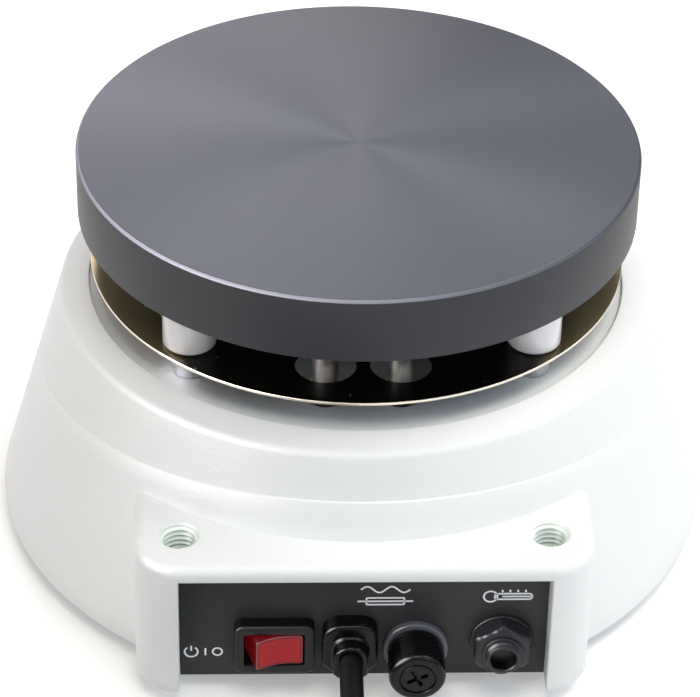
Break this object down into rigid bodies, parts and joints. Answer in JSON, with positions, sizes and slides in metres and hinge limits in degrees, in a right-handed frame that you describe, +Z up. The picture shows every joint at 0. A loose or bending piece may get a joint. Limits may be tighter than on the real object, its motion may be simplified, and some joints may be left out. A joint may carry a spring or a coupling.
{
  "type": "hot plate magnetic stirrer",
  "caption": "Laboratory magnetic stirrer with a round dark metal hot plate on ceramic standoffs above a white conical housing, with a rear connector box, mains cord and front control console.",
  "frame": {"origin": "on the bench plane, on the stirring axis, which is the centre of the housing and plate without the cord", "axes": "+Z up, +Y towards the rear connector panel, -Y towards the control console"},
  "size_m": [0.266, 0.3409, 0.1153],
  "materials": {
    "turned_plate": "satin",
    "mica": "matte",
    "ceramic_fibre": "matte",
    "steel_inner": "satin",
    "lead_tube_steel": "satin",
    "glazed_ceramic": "gloss",
    "spacer_steel": "satin",
    "dark_enamel": "satin",
    "white_powder_coat": "satin",
    "base_sheet": "matte",
    "black_panel": "matte",
    "foot_rubber": "matte",
    "black_gloss_plastic": "satin",
    "black_matt_plastic": "matte",
    "grey_washer": "satin",
    "red_rocker": "gloss",
    "brass_contacts": "satin",
    "cord_jacket": "matte",
    "fuse_glass": "gloss",
    "magnet_nickel": "gloss",
    "board_laminate": "satin",
    "board_blocks": "matte",
    "display_lens": "gloss",
    "lamp_lens": "gloss"
  },
  "bodies": {
    "base": {"heating_plate": "turned_plate", "heating_element": "mica", "element_insulation": "ceramic_fibre", "element_clamp": "steel_inner", "clamp_screws": "steel_inner", "plate_bolts": "steel_inner", "base_screws": "steel_inner", "panel_screws": "steel_inner", "bracket_screws": "steel_inner", "fuse_nut": "steel_inner", "motor_bracket": "steel_inner", "motor_case": "steel_inner", "bearings": "steel_inner", "transformer": "steel_inner", "thermal_cutout": "steel_inner", "plate_sensor": "steel_inner", "lead_tubes": "lead_tube_steel", "ceramic_standoff_1": "glazed_ceramic", "ceramic_standoff_2": "glazed_ceramic", "ceramic_standoff_3": "glazed_ceramic", "ceramic_standoff_4": "glazed_ceramic", "lower_spacers": "spacer_steel", "heat_shield": "dark_enamel", "housing": "white_powder_coat", "base_cover": "base_sheet", "rear_panel": "black_panel", "front_fascia": "black_panel", "foot_1": "foot_rubber", "foot_2": "foot_rubber", "foot_3": "foot_rubber", "foot_4": "foot_rubber", "bracket_mounts": "foot_rubber", "switch_body": "black_gloss_plastic", "jack_nut": "black_gloss_plastic", "cord_grip": "black_matt_plastic", "fuse_holder": "black_matt_plastic", "sensor_jack": "black_matt_plastic", "plug_body": "black_matt_plastic", "jack_washer": "grey_washer", "switch_terminals": "brass_contacts", "plug_pins": "brass_contacts", "motor_stator": "brass_contacts", "power_cord": "cord_jacket", "cord_coil": "cord_jacket", "cord_tail": "cord_jacket", "control_board": "board_laminate", "board_parts": "board_blocks", "control_pots": "board_blocks", "display_window": "display_lens", "indicator_lamps": "lamp_lens"},
    "rotor": {"motor_shaft": "steel_inner", "rotor_core": "steel_inner", "magnet_carrier": "black_matt_plastic", "drive_magnets": "magnet_nickel", "cooling_fan": "black_matt_plastic"},
    "rocker": {"rocker": "red_rocker"},
    "fuse_carrier": {"fuse_link": "fuse_glass"},
    "fuse_cap": {"fuse_cap": "black_gloss_plastic"},
    "speed_knob": {"speed_knob": "black_gloss_plastic"},
    "heat_knob": {"heat_knob": "black_gloss_plastic"}
  },
  "joints": [
    {"name": "stirrer_spin", "type": "hinge", "parent": "base", "child": "rotor", "pos_m": [0, 0, 0.06], "axis": [0, 0, 1], "continuous": true},
    {"name": "rocker_tilt", "type": "hinge", "parent": "base", "child": "rocker", "pos_m": [0.0238, 0.0935, 0.017], "axis": [0, 0, -1], "range_deg": [0, 26]},
    {"name": "fuse_draw", "type": "slide", "parent": "base", "child": "fuse_carrier", "axis": [0, 1, 0], "range_m": [0, 0.045]},
    {"name": "fuse_cap_turn", "type": "hinge", "parent": "fuse_carrier", "child": "fuse_cap", "pos_m": [-0.014, 0.0943, 0.015], "axis": [0, -1, 0], "range_deg": [0, 45]},
    {"name": "speed_knob_turn", "type": "hinge", "parent": "base", "child": "speed_knob", "pos_m": [0.032, -0.09644, 0.0315], "axis": [0, 0.9455, -0.3256], "range_deg": [0, 300]},
    {"name": "heat_knob_turn", "type": "hinge", "parent": "base", "child": "heat_knob", "pos_m": [-0.032, -0.09644, 0.0315], "axis": [0, 0.9455, -0.3256], "range_deg": [0, 300]}
  ]
}
